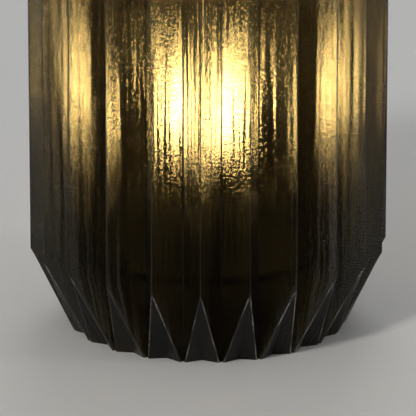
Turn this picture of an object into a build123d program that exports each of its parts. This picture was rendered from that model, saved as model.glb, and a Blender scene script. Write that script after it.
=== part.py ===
from build123d import *
import os
from math import asin, atan2, cos, degrees, radians, sin

# Pleated paper table lamp, in millimetres, +Z up. The origin is on the table under the lamp's axis.
# +Y is the back, where the cord leaves. The shade is two sheets of pleated paper glued into a ring,
# with every ridge folded back into the ring at the foot and at the top. It stands round a weighted
# base that carries a screw lampholder and a bulb, and lifts straight off.

# --- Shade ---
pleat_count = 23
ridge_radius = 120.0
valley_radius = 91.0
shade_height = 340.0
fold_height = 55.0            # of the triangle that is folded in on every ridge, foot and top
crease_setback = 3.0          # each crease ends this far short of the valley, along the pleat
gusset_inset = 5.0            # how far a folded-in ridge stands inside its two crease ends
paper = 0.5
hoop_thickness = 1.2          # steel bands that hold the pleats' inner folds
hoop_height = 5.0
seam_width = 12.0             # strips glued behind the two joints of the paper
cord_notch_width = 9.0
cord_notch_headroom = 1.4     # over a cord that lies on the base plate

# --- Base ---
felt_thickness = 2.0
felt_hole_radius = 16.0
plate_thickness = 6.0
plate_chamfer = 1.0
cover_radius = 60.0
cover_height = 22.0
cover_shoulder = 10.0         # rounding of the cover's top edge
cover_wall = 1.2
screw_count = 3
screw_circle_radius = 44.0
screw_radius = 2.0
screw_head_radius = 4.0
screw_head_height = 2.2
screw_reach = 9.0             # into the cover's bosses
boss_radius = 4.5
boss_hole_spare = 1.0         # depth of a boss's hole past the screw's end

# --- Cord inlet, in the back of the cover ---
gland_bore_radius = 3.3       # for a round cord of about 6.5 mm
gland_shank_radius = 5.0
gland_flange_radius = 7.5
gland_flange = 2.5
gland_edge = 0.8              # rounding of the flange
gland_shank = 9.0
gland_nut_flats = 13.0
gland_nut_thickness = 3.0
gland_nut_gap = 1.2           # between the nut's middle and the cover's curved wall
gland_height = 8.6            # of its axis above the plate

# --- Stem and column ---
stem_radius = 5.0
stem_bore_radius = 3.4
nut_flats = 16.0
nut_thickness = 3.0
nut_recess_radius = 11.0
nut_recess_depth = 3.5
washer_radius = 10.0
washer_thickness = 1.2
column_radius = 8.0
column_height = 9.0
column_edge = 0.8

# --- Lampholder ---
holder_radius = 20.5
holder_wall = 1.8
holder_cap_height = 20.0
holder_neck_radius = 9.0
holder_neck_height = 5.0
holder_shell_height = 36.0
holder_lip = 1.2              # rounding of the shell's mouth
holder_collar_height = 6.0    # ribbed grip at the shell's foot
holder_collar_depth = 0.8
grip_rib_count = 24
core_thickness = 9.0
thread_wall = 0.5
thread_height = 24.0
contact_width = 7.0
contact_foot = 4.0            # length of the contact leaf's flat foot on the core
contact_slope = 5.0
contact_pad = 7.0             # length of its flat end under the bulb's tip
contact_thickness = 0.6
contact_rise = 2.4
terminal_radius = 1.8
terminal_head = 1.6
terminal_spread = 16.1        # radius at which the two terminals stand
grub_radius = 1.6

# --- Bulb ---
bulb_cap_radius = 13.0
bulb_cap_height = 22.0
insulator_height = 3.0
insulator_foot_radius = 6.0
tip_radius = 4.5
tip_height = 2.0
tip_edge = 1.0
housing_height = 38.0
housing_neck_radius = 14.0
housing_foot_lean = 0.15      # how far the housing's side leans out for each unit of rise
housing_rim_lean = 0.4
dome_radius = 30.0
dome_rim_drop = 9.0           # the dome's rim lies this far under its centre
dome_wall = 1.2
housing_edge = 0.5            # the housing's rim stands this far outside the dome
board_radius = 24.0
board_hole_radius = 2.0       # for the board's wires
board_thickness = 1.6
chip_count = 12
chip_circle_radius = 16.0
chip_width = 2.8
chip_length = 3.5
chip_height = 0.7

# --- Clearances ---
shade_clearance = 0.7         # between the folded foot and the base plate
glue_line = 0.1
slip_fit = 0.05               # screws, nuts and tubes on what they pass through
thread_clearance = 0.35       # between the bulb's cap and the lampholder's screw shell
contact_clearance = 0.3       # between the bulb's tip and the contact leaf
core_clearance = 0.3

# --- Worked out from the sizes above ---
half_pitch = 180 / pleat_count
back_angle = 90               # one ridge points straight back


def polar(radius, angle, height=0.0):
    """The point at a radius and an angle in degrees about the lamp's axis."""
    return Vector(radius * cos(radians(angle)), radius * sin(radians(angle)), height)


ridge = polar(ridge_radius, 0)
valley = polar(valley_radius, half_pitch)
pleat = valley - ridge
crease_end = ridge + pleat * (1 - crease_setback / pleat.length)
gusset_radius = crease_end.X - gusset_inset
valley_slant = degrees(atan2(pleat.Y, -pleat.X)) + half_pitch
valley_inside = valley_radius - paper / sin(radians(valley_slant))

# Both paper joints run down the middle of a side pleat that faces the back, in one plane
side_turn = round(pleat_count / 4) * 2 * half_pitch
side_ridge = polar(ridge_radius, back_angle + side_turn)
side_valley = polar(valley_radius, back_angle + side_turn - half_pitch)
joint_y = (side_ridge.Y + side_valley.Y) / 2

base_radius = min(gusset_radius, valley_inside) - paper - shade_clearance
plate_top = felt_thickness + plate_thickness
cover_top = plate_top + cover_height
column_foot = cover_top + washer_thickness
holder_foot = column_foot + column_height
shell_foot = holder_foot + holder_cap_height
holder_shoulder = holder_radius - holder_neck_radius
core_foot = holder_foot + holder_neck_height + holder_shoulder
core_top = core_foot + core_thickness
holder_inside = holder_radius - holder_wall
tip_foot = core_top + contact_rise + contact_clearance
insulator_foot = tip_foot + tip_height
cap_foot = insulator_foot + insulator_height
housing_foot = cap_foot + bulb_cap_height
dome_rim = housing_foot + housing_height
dome_centre = dome_rim + dome_rim_drop
dome_rim_radius = (dome_radius**2 - dome_rim_drop**2) ** 0.5
cord_notch_height = plate_top + 2 * gland_bore_radius + cord_notch_headroom
inlet_plane = Plane(origin=(0, cover_radius + slip_fit, plate_top + gland_height), z_dir=(0, 1, 0))


def save(piece, name):
    """Label a finished piece and write it as one STEP file."""
    piece.part.label = name
    export_step(piece.part, f"parts/{name}.step")


def ring(outer, inner, height, foot):
    """A plain ring or short tube about the lamp's axis."""
    with BuildPart() as made:
        with BuildSketch(Plane.XY.offset(foot)):
            Circle(outer)
            Circle(inner, mode=Mode.SUBTRACT)
        extrude(amount=height)
    return made


def make_pleated_ring():
    """The whole pleated ring: a star tube whose ridges are folded in at both ends."""
    star = []
    for fold in range(pleat_count):
        angle = back_angle + 2 * half_pitch * fold
        star.append(polar(ridge_radius, angle))
        star.append(polar(valley_radius, angle + half_pitch))

    # What one reverse fold takes off the foot of a ridge: a pyramid whose tip is on the ridge,
    # with the two creases and the folded-in ridge as its inner edges, and open to the outside
    beyond = ridge_radius + gusset_inset
    with BuildPart() as fold_cut:
        with BuildSketch() as cut_foot:
            Polygon(
                (crease_end.X, crease_end.Y),
                (gusset_radius, 0),
                (crease_end.X, -crease_end.Y),
                (beyond, -crease_end.Y),
                (beyond, crease_end.Y),
                align=None,
            )
        loft(sections=[cut_foot.sketch, Vertex(ridge_radius, 0, fold_height)])

    with BuildPart() as pleats:
        with BuildSketch():
            Polygon(*[(point.X, point.Y) for point in star], align=None)
        extrude(amount=shade_height / 2)
        with PolarLocations(0, pleat_count, start_angle=back_angle):
            add(fold_cut.part, mode=Mode.SUBTRACT)
        mirror(about=Plane.XY.offset(shade_height / 2))
        ends = pleats.faces().filter_by(Axis.Z)
        offset(amount=-paper, openings=ends, kind=Kind.INTERSECTION)
        with BuildSketch():
            with Locations((0, gusset_radius)):
                Rectangle(cord_notch_width, 4 * gusset_inset)
        extrude(amount=cord_notch_height, mode=Mode.SUBTRACT)
    return pleats


def make_sheet(pleats, keep):
    """One of the two sheets, on the side of the joints that keep names."""
    with BuildPart() as sheet:
        add(pleats.part)
        split(bisect_by=Plane.XZ.offset(-joint_y), keep=keep)
    return sheet


def make_seam_strip(side):
    """A strip glued behind a joint, between the folded ends; side is 1 for left, -1 for right."""
    along = (side_valley - side_ridge).normalized()
    inward = Vector(0, 0, 1).cross(along) * -1
    middle = (side_valley + side_ridge) * 0.5 + inward * paper
    seam_plane = Plane(
        origin=(side * middle.X, middle.Y, fold_height),
        x_dir=(side * along.X, along.Y, 0),
        z_dir=(0, 0, 1),
    )
    with BuildPart() as strip:
        with BuildSketch(seam_plane):
            Rectangle(seam_width, paper, align=(Align.CENTER, Align.MAX if side > 0 else Align.MIN))
        extrude(amount=shade_height - 2 * fold_height)
    return strip


def make_hoop(middle):
    """A steel band that holds the pleats' inner folds, at a height above the table."""
    outside = valley_inside - glue_line
    return ring(outside, outside - hoop_thickness, hoop_height, middle - hoop_height / 2)


def make_base_plate():
    """The steel disc, with a recess for the stem's nut and countersunk holes under it."""
    with BuildPart() as plate:
        with BuildSketch(Plane.XY.offset(felt_thickness)):
            Circle(base_radius)
        extrude(amount=plate_thickness)
        chamfer(plate.edges().filter_by(GeomType.CIRCLE).sort_by(Axis.Z)[-1], plate_chamfer)
        with BuildSketch(Plane.XY.offset(felt_thickness)):
            Circle(nut_recess_radius)
        extrude(amount=nut_recess_depth, mode=Mode.SUBTRACT)
        with BuildSketch(Plane.XY.offset(felt_thickness)):
            Circle(stem_radius + slip_fit)
        extrude(amount=plate_thickness, mode=Mode.SUBTRACT)
        with Locations(Plane.XY.offset(felt_thickness)):
            with PolarLocations(screw_circle_radius, screw_count):
                with Locations(Rotation(180, 0, 0)):
                    CounterSinkHole(
                        radius=screw_radius + slip_fit,
                        counter_sink_radius=screw_head_radius + slip_fit,
                        depth=plate_thickness,
                    )
    return plate


def make_base_cover():
    """The spun steel cover over the wiring, with a screw boss under its top for each screw."""
    with BuildPart() as cover:
        with BuildSketch(Plane.XY.offset(plate_top)):
            Circle(cover_radius)
        extrude(amount=cover_height)
        fillet(cover.edges().filter_by(GeomType.CIRCLE).sort_by(Axis.Z)[-1], cover_shoulder)
        offset(amount=-cover_wall, openings=cover.faces().filter_by(Axis.Z).sort_by(Axis.Z)[0])
        with BuildSketch(Plane.XY.offset(plate_top)):
            with PolarLocations(screw_circle_radius, screw_count):
                Circle(boss_radius)
        extrude(amount=cover_height - cover_wall / 2)
        with BuildSketch(Plane.XY.offset(plate_top)):
            with PolarLocations(screw_circle_radius, screw_count):
                Circle(screw_radius + slip_fit)
        extrude(amount=screw_reach + boss_hole_spare, mode=Mode.SUBTRACT)
        with BuildSketch(Plane.XY.offset(plate_top)):
            Circle(stem_radius + slip_fit)
        extrude(amount=cover_height, mode=Mode.SUBTRACT)
        with BuildSketch(inlet_plane):
            Circle(gland_shank_radius + slip_fit)
        extrude(amount=-gland_shank, mode=Mode.SUBTRACT)
    return cover


def make_cover_screws():
    """Countersunk screws up through the plate into the cover's bosses."""
    with BuildPart() as screw:
        with BuildSketch(Plane.XZ):
            Polygon(
                (0, 0),
                (screw_head_radius, 0),
                (screw_radius, screw_head_height),
                (screw_radius, plate_thickness + screw_reach),
                (0, plate_thickness + screw_reach),
                align=None,
            )
        revolve(axis=Axis.Z)
    with BuildPart() as screws:
        with Locations(Plane.XY.offset(felt_thickness)):
            with PolarLocations(screw_circle_radius, screw_count):
                add(screw.part)
    return screws


def make_cord_gland():
    """The cord inlet: a flanged bush through the back of the cover."""
    with BuildPart() as gland:
        with BuildSketch(inlet_plane):
            Circle(gland_flange_radius)
        extrude(amount=gland_flange)
        fillet(gland.edges().filter_by(GeomType.CIRCLE).sort_by(Axis.Y)[-1], gland_edge)
        with BuildSketch(inlet_plane):
            Circle(gland_shank_radius)
        extrude(amount=-gland_shank)
        with BuildSketch(inlet_plane.offset(gland_flange)):
            Circle(gland_bore_radius)
        extrude(amount=-(gland_flange + gland_shank), mode=Mode.SUBTRACT)
    return gland


def make_gland_nut():
    """The nut that holds the gland from inside the cover."""
    wall_at_side = (cover_radius**2 - (gland_nut_flats / 2) ** 2) ** 0.5
    nut_depth = cover_radius - wall_at_side + cover_wall + gland_nut_gap
    with BuildPart() as nut:
        with BuildSketch(inlet_plane.offset(-nut_depth)):
            RegularPolygon(gland_nut_flats / 2, 6, major_radius=False)
            Circle(gland_shank_radius + slip_fit, mode=Mode.SUBTRACT)
        extrude(amount=-gland_nut_thickness)
    return nut


def make_stem_nut():
    """The hexagon nut under the plate that clamps the stem."""
    with BuildPart() as nut:
        with BuildSketch(Plane.XY.offset(felt_thickness + nut_recess_depth)):
            RegularPolygon(nut_flats / 2, 6, major_radius=False)
            Circle(stem_radius + slip_fit, mode=Mode.SUBTRACT)
        extrude(amount=-nut_thickness)
    return nut


def make_stem_tube():
    """The threaded tube that clamps nut, plate, cover, column and lampholder together."""
    foot = felt_thickness + nut_recess_depth - nut_thickness
    head = holder_foot + holder_neck_height + holder_wall
    return ring(stem_radius, stem_bore_radius, head - foot, foot)


def make_column():
    """The sleeve that lifts the lampholder off the cover."""
    column = ring(column_radius, stem_radius + slip_fit, column_height, column_foot)
    with column:
        rims = column.edges().filter_by(GeomType.CIRCLE)
        outer_rims = [rim for rim in rims if rim.radius > stem_radius + 2 * slip_fit]
        fillet(outer_rims, column_edge)
    return column


def make_holder_cap():
    """The lampholder's domed cap, screwed on the stem."""
    with BuildPart() as cap:
        with BuildSketch(Plane.XZ):
            with BuildLine():
                foot = Line((0, holder_foot), (holder_neck_radius, holder_foot))
                neck = Line(foot @ 1, foot @ 1 + (0, holder_neck_height))
                dome = JernArc(neck @ 1, (1, 0), holder_shoulder, 90)
                rim = Line(dome @ 1, (holder_radius, shell_foot))
                top = Line(rim @ 1, (0, shell_foot))
                Line(top @ 1, foot @ 0)
            make_face()
        revolve(axis=Axis.Z)
        offset(amount=-holder_wall, openings=cap.faces().filter_by(Axis.Z).sort_by(Axis.Z)[-1])
        with BuildSketch(Plane.XY.offset(holder_foot)):
            Circle(stem_radius + slip_fit)
        extrude(amount=holder_cap_height, mode=Mode.SUBTRACT)
        with BuildSketch(Plane.YZ):
            with Locations((0, holder_foot + holder_neck_height / 2)):
                Circle(grub_radius + slip_fit)
        extrude(amount=holder_radius, mode=Mode.SUBTRACT)
    return cap


def make_grub_screw():
    """The set screw through the cap's neck that locks it on the stem."""
    with BuildPart() as grub:
        with BuildSketch(Plane.YZ.offset(stem_radius + slip_fit)):
            with Locations((0, holder_foot + holder_neck_height / 2)):
                Circle(grub_radius)
        extrude(amount=holder_neck_radius - stem_radius)
    return grub


def make_holder_shell():
    """The lampholder's outer shell, with a ribbed grip at its foot."""
    with BuildPart() as shell:
        with BuildSketch(Plane.XY.offset(shell_foot)):
            Circle(holder_radius)
            Circle(holder_inside, mode=Mode.SUBTRACT)
        extrude(amount=holder_shell_height)
        mouth = shell.edges().filter_by(GeomType.CIRCLE).sort_by(Axis.Z)[-2:].sort_by(SortBy.RADIUS)
        fillet(mouth[-1], holder_lip)
        with BuildSketch(Plane.XY.offset(shell_foot)):
            with PolarLocations(holder_radius, grip_rib_count):
                Rectangle(2 * holder_collar_depth, 2 * holder_collar_depth, rotation=45)
        extrude(amount=holder_collar_height, mode=Mode.SUBTRACT)
    return shell


def make_holder_core():
    """The ceramic core that carries the screw shell, contact and terminals."""
    with BuildPart() as core:
        with BuildSketch(Plane.XY.offset(core_foot)):
            Circle(holder_inside - core_clearance)
        extrude(amount=core_thickness)
        with BuildSketch(Plane.XY.offset(core_foot)):
            with PolarLocations(terminal_spread, 2):
                Circle(terminal_radius + slip_fit)
        extrude(amount=core_thickness, mode=Mode.SUBTRACT)
    return core


def make_terminal_screws():
    """One screw each for live and neutral, beside the screw shell."""
    with BuildPart() as screws:
        with BuildSketch(Plane.XY.offset(core_foot)):
            with PolarLocations(terminal_spread, 2):
                Circle(terminal_radius)
        extrude(amount=core_thickness + terminal_head)
    return screws


def make_screw_shell():
    """The metal shell that takes the bulb's screw cap."""
    inside = bulb_cap_radius + thread_clearance
    return ring(inside + thread_wall, inside, thread_height, core_top)


def make_contact_leaf():
    """The sprung middle contact: a foot on the core, a slope and a pad under the bulb's tip."""
    with BuildPart() as leaf:
        with BuildSketch(Plane.YZ):
            with BuildLine():
                pad = Line(
                    (contact_pad / 2, core_top + contact_rise),
                    (-contact_pad / 2, core_top + contact_rise),
                )
                slope = Line(pad @ 1, pad @ 1 - (contact_slope, contact_rise - contact_thickness))
                foot = Line(slope @ 1, slope @ 1 - (contact_foot, 0))
                heel = Line(foot @ 1, foot @ 1 - (0, contact_thickness))
                under_foot = Line(heel @ 1, heel @ 1 + (contact_foot, 0))
                under_slope = Line(
                    under_foot @ 1,
                    under_foot @ 1 + (contact_slope, contact_rise - contact_thickness),
                )
                under_pad = Line(under_slope @ 1, under_slope @ 1 + (contact_pad, 0))
                Line(under_pad @ 1, pad @ 0)
            make_face()
        extrude(amount=contact_width / 2, both=True)
    return leaf


def make_bulb_tip():
    """The bulb's middle contact."""
    with BuildPart() as tip:
        with BuildSketch(Plane.XY.offset(tip_foot)):
            Circle(tip_radius)
        extrude(amount=tip_height)
        fillet(tip.edges().sort_by(Axis.Z)[0], tip_edge)
    return tip


def make_bulb_insulator():
    """The dark insulating cone between the bulb's tip and its screw cap."""
    with BuildPart() as insulator:
        with BuildSketch(Plane.XY.offset(insulator_foot)):
            Circle(insulator_foot_radius)
        with BuildSketch(Plane.XY.offset(cap_foot)):
            Circle(bulb_cap_radius)
        loft()
    return insulator


def make_bulb_cap():
    """The bulb's screw cap, a closed metal cup."""
    with BuildPart() as cap:
        with BuildSketch(Plane.XY.offset(cap_foot)):
            Circle(bulb_cap_radius)
        extrude(amount=bulb_cap_height)
    return cap


def make_bulb_housing():
    """The bulb's opaque lower body, which flares from the cap to the dome."""
    with BuildPart() as housing:
        with BuildSketch(Plane.XZ):
            with BuildLine():
                foot = Line((0, housing_foot), (housing_neck_radius, housing_foot))
                side = Spline(
                    foot @ 1,
                    (dome_rim_radius + housing_edge, dome_rim),
                    tangents=[(housing_foot_lean, 1), (housing_rim_lean, 1)],
                )
                top = Line(side @ 1, (0, dome_rim))
                Line(top @ 1, foot @ 0)
            make_face()
        revolve(axis=Axis.Z)
    return housing


def make_bulb_dome():
    """The bulb's frosted dome, a thin part of a sphere."""
    inner_radius = dome_radius - dome_wall
    outer_start = degrees(asin(dome_rim_drop / dome_radius))
    inner_start = degrees(asin(dome_rim_drop / inner_radius))
    with BuildPart() as dome:
        with BuildSketch(Plane.XZ):
            with BuildLine():
                outside = CenterArc((0, dome_centre), dome_radius, -outer_start, 90 + outer_start)
                inside = CenterArc((0, dome_centre), inner_radius, -inner_start, 90 + inner_start)
                Line(outside @ 0, inside @ 0)
                Line(outside @ 1, inside @ 1)
            make_face()
        revolve(axis=Axis.Z)
    return dome


def make_led_chips():
    """The ring of light chips on the bulb's board."""
    with BuildPart() as chips:
        with BuildSketch(Plane.XY.offset(dome_rim + board_thickness)):
            with PolarLocations(chip_circle_radius, chip_count):
                Rectangle(chip_width, chip_length)
        extrude(amount=chip_height)
    return chips


os.makedirs("parts", exist_ok=True)

pleated_ring = make_pleated_ring()
save(make_sheet(pleated_ring, Keep.TOP), "front_sheet")
save(make_sheet(pleated_ring, Keep.BOTTOM), "rear_sheet")
save(make_seam_strip(1), "left_seam_strip")
save(make_seam_strip(-1), "right_seam_strip")
save(make_hoop(fold_height), "lower_hoop")
save(make_hoop(shade_height - fold_height), "upper_hoop")

save(ring(base_radius, felt_hole_radius, felt_thickness, 0), "felt_pad")
save(make_base_plate(), "base_plate")
save(make_base_cover(), "base_cover")
save(make_cover_screws(), "cover_screws")
save(make_cord_gland(), "cord_gland")
save(make_gland_nut(), "gland_nut")

save(make_stem_tube(), "stem_tube")
save(make_stem_nut(), "stem_nut")
save(ring(washer_radius, stem_radius + slip_fit, washer_thickness, cover_top), "stem_washer")
save(make_column(), "column")

save(make_holder_cap(), "holder_cap")
save(make_grub_screw(), "holder_grub_screw")
save(make_holder_shell(), "holder_shell")
save(make_holder_core(), "holder_core")
save(make_terminal_screws(), "terminal_screws")
save(make_screw_shell(), "screw_shell")
save(make_contact_leaf(), "contact_leaf")

save(make_bulb_tip(), "bulb_tip")
save(make_bulb_insulator(), "bulb_insulator")
save(make_bulb_cap(), "bulb_cap")
save(make_bulb_housing(), "bulb_housing")
save(make_bulb_dome(), "bulb_dome")
save(ring(board_radius, board_hole_radius, board_thickness, dome_rim), "led_board")
save(make_led_chips(), "led_chips")
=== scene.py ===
"""The looks of a pleated paper table lamp: folded shade, base, lampholder, bulb and studio."""

import logging
import math
from dataclasses import dataclass, field
from enum import Enum
from typing import Iterable, Optional, Sequence, Union

import bpy
import numpy as np
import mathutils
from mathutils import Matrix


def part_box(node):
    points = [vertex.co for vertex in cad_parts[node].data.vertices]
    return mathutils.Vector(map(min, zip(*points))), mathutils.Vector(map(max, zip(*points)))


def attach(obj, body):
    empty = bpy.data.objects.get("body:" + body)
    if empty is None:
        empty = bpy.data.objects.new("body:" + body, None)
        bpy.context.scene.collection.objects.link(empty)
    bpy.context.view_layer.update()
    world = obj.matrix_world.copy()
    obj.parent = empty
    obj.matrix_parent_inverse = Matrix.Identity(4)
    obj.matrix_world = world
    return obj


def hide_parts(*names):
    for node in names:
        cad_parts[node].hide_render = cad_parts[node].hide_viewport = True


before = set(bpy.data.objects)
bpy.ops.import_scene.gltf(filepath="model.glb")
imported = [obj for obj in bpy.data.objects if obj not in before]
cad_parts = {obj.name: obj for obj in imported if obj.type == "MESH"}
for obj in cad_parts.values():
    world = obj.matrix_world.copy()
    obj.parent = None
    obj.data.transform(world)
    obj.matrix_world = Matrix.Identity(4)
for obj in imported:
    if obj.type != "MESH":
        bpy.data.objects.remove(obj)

log = logging.getLogger("lamp")

Array = np.ndarray
Colour = tuple[float, float, float]
Vector = tuple[float, float, float]
Span = tuple[float, float]
Object = bpy.types.Object
Material = bpy.types.Material
Socket = bpy.types.NodeSocket
Input = Union[float, tuple[float, ...], Socket]

MILLIMETRE = 0.001
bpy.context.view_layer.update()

BLACK: Colour = (0.0, 0.0, 0.0)
WHOLE: Span = (0.0, 1.0)
NOISE_SPAN: Span = (0.3, 0.7)  # most of a noise texture's values lie in it
ONE_BAND = 0.314  # scale at which a wave texture makes one band in a unit
HAIR = 1e-6  # metres by which a point must stand in front of the sheets' joint
CREASE = 35.0  # an edge bent by more degrees than this is sharp
THREAD_CREASE = 60.0  # the same on a threaded piece, whose thread stays smooth
THREAD_PITCH = 3.63 * MILLIMETRE
FOLDS = 4  # fold corners in a pleat: its valley, a crease, its ridge and a crease
OFF_FACET = -1.0  # stands for a column's share of its facet's width where it is on none
NO_TILT = 0.5  # a normal map's red and green for a normal that isn't tilted


class Body(Enum):
    """The rigid bodies that new pieces ride on."""

    BASE = "lamp_base"
    BULB_CAP = "bulb_foot"
    SHADE = "shade"


class Slot(Enum):
    """The material slots of the new pieces."""

    PAPER = "paper"
    FELT = "felt"
    BRASS = "brass"
    BULB_METAL = "bulb_metal"


def unit(vectors: Array) -> Array:
    """Vectors divided by their length along the last axis, none of which may be zero."""
    return vectors / np.linalg.norm(vectors, axis=-1, keepdims=True)


def grid_faces(rows: int, columns: int, join_rows: bool, join_columns: bool) -> Array:
    """Corner indices of the quads between neighbouring points of a grid.

    A quad goes from (i, j) to (i, j+1), (i+1, j+1) and (i+1, j), with the last row or
    column followed by the first where they are joined.

    Args:
        rows, columns: numbers of rows and columns of points.
        join_rows, join_columns: whether the last row or column meets the first.

    Returns:
        An array of quads, four point indices each.
    """
    row = np.arange(rows if join_rows else rows - 1)[:, None]
    column = np.arange(columns if join_columns else columns - 1)[None, :]
    next_row, next_column = (row + 1) % rows, (column + 1) % columns
    corners = [
        row * columns + column,
        row * columns + next_column,
        next_row * columns + next_column,
        next_row * columns + column,
    ]
    return np.stack(corners, axis=-1).reshape(-1, 4)


def enclosed_volume(points: Array, faces: Sequence[Array]) -> float:
    """Volume inside a closed surface, negative where its faces point inwards.

    It is the sum of a . (b x c) / 6 over the triangles (a, b, c) of the faces.

    Args:
        points: point positions.
        faces: arrays of faces, each of shape (faces, corners).

    Returns:
        The signed volume.
    """
    total = 0.0
    for part in faces:
        corners = points[part]
        for second in range(1, part.shape[1] - 1):
            turned_area = np.cross(corners[:, second], corners[:, second + 1])
            total += float(np.einsum("ij,ij->", corners[:, 0], turned_area)) / 6
    return total


def mesh_object(name: str, points: Array, faces: Sequence[Array], crease_degrees: float = CREASE,
                uv: Optional[Array] = None, values: Optional[dict[str, Array]] = None) -> Object:
    """Put points and faces into a new object that stands at the origin.

    The faces of a closed surface are turned to point outwards.

    Args:
        name: the object's name.
        points: point positions, in metres.
        faces: arrays of faces, each of shape (faces, corners).
        crease_degrees: an edge bent by more than this stays sharp.
        uv: a UV coordinate for each point, in metres along the surface.
        values: named attributes with a number for each point.

    Returns:
        The object, linked to the scene.
    """
    if enclosed_volume(points, faces) < 0:
        faces = [part[:, ::-1] for part in faces]
    counts = np.concatenate([np.full(len(part), part.shape[1]) for part in faces])
    starts = np.concatenate([[0], np.cumsum(counts)[:-1]]).astype(np.int32)
    corners = np.concatenate([part.ravel() for part in faces]).astype(np.int32)
    mesh = bpy.data.meshes.new(name)
    mesh.vertices.add(len(points))
    mesh.vertices.foreach_set("co", np.asarray(points, dtype=np.float32).ravel())
    mesh.loops.add(len(corners))
    mesh.loops.foreach_set("vertex_index", corners)
    mesh.polygons.add(len(counts))
    mesh.polygons.foreach_set("loop_start", starts)
    mesh.update(calc_edges=True)
    mesh.validate()
    if uv is not None:
        layer = mesh.uv_layers.new(name="sheet")
        layer.data.foreach_set("uv", uv[corners].astype(np.float32).ravel())
    for key, numbers in (values or {}).items():
        attribute = mesh.attributes.new(key, "FLOAT", "POINT")
        attribute.data.foreach_set("value", np.asarray(numbers, dtype=np.float32).ravel())
    mesh.shade_smooth()
    mesh.set_sharp_from_angle(angle=math.radians(crease_degrees))
    made = bpy.data.objects.new(name, mesh)
    bpy.context.scene.collection.objects.link(made)
    return made


def turned(name: str, radius: Array, height: Array, sides: int,
           crease_degrees: float = CREASE) -> Object:
    """A body round the lamp's axis, made from a closed profile that stays off the axis.

    A point is (r cos a, r sin a, z) for a profile point (r, z) and an angle a, where r may
    differ from angle to angle.

    Args:
        name: the object's name.
        radius: the profile's radii, of shape (rows, 1) or (rows, sides), in metres.
        height: the profile's heights, of shape (rows,), in metres.
        sides: number of steps round the axis.
        crease_degrees: an edge bent by more than this stays sharp.

    Returns:
        The object.
    """
    angle = round_angles(sides)
    place = np.broadcast_arrays(radius * np.cos(angle), radius * np.sin(angle), height[:, None])
    quads = grid_faces(len(height), sides, True, True)
    return mesh_object(name, np.stack(place, axis=-1).reshape(-1, 3), [quads], crease_degrees)


def round_angles(sides: int) -> Array:
    """Angles of equal steps once round the axis."""
    return np.linspace(0.0, 2 * math.pi, sides, endpoint=False)


def thread(height: Array, sides: int, pitch: float, fade: float) -> Array:
    """Height of a rounded right-hand thread over its root, between 0 and 1.

    It is half of 1 + cos(2 pi z / pitch - a), which climbs one pitch a turn, times a
    smooth ramp that takes it to nothing at both ends.

    Args:
        height: heights of the rows, rising, in metres.
        sides: number of steps round the axis.
        pitch: rise of one turn, in metres.
        fade: length of the ramp at either end, in metres.

    Returns:
        An array of shape (rows, sides).
    """
    wave = 0.5 + 0.5 * np.cos(2 * math.pi * height[:, None] / pitch - round_angles(sides))
    ramp = np.clip(np.minimum(height - height[0], height[-1] - height) / fade, 0.0, 1.0)
    return wave * (ramp * ramp * (3 - 2 * ramp))[:, None]


def rounded_profile(inner: float, outer: float, low: float, high: float, edge: float,
                    steps: int = 5) -> tuple[Array, Array]:
    """A rectangle with quarter circles for corners, in the plane of radius and height.

    Args:
        inner, outer: its least and greatest radius.
        low, high: its least and greatest height.
        edge: radius of the corners.
        steps: number of points on a corner.

    Returns:
        Radii and heights, anticlockwise from the lower inner corner.
    """
    turn = np.linspace(0.0, math.pi / 2, steps)
    angle = np.concatenate([math.pi + turn, 1.5 * math.pi + turn, turn, math.pi / 2 + turn])
    centre_radius = np.repeat([inner + edge, outer - edge, outer - edge, inner + edge], steps)
    centre_height = np.repeat([low + edge, low + edge, high - edge, high - edge], steps)
    return centre_radius + edge * np.cos(angle), centre_height + edge * np.sin(angle)


def dress(nodes: Iterable[str], material: Material) -> None:
    """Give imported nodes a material.

    Args:
        nodes: names of the nodes.
        material: their new material.
    """
    for name in nodes:
        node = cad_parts[name]
        for slot in node.material_slots:
            slot.link = "OBJECT"
            slot.material = material


def bore_radius(name: str) -> float:
    """Radius of the hole of a packed ring round the lamp's axis.

    Args:
        name: the ring's node.

    Returns:
        The distance from the axis to the node's nearest point.
    """
    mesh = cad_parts[name].data
    points = np.empty(3 * len(mesh.vertices), dtype=np.float32)
    mesh.vertices.foreach_get("co", points)
    return float(np.hypot(points[0::3], points[1::3]).min())


def settle(made: Object, node: str, body: Body, material: Material) -> Object:
    """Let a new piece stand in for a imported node, on a body and in a material slot.

    Args:
        made: the new piece.
        node: name of the node that it replaces.
        body: the body that it rides on.
        material: its material.

    Returns:
        The new piece.
    """
    made.data.materials.append(material)
    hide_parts(node)
    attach(made, body.value)
    return made


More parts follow.
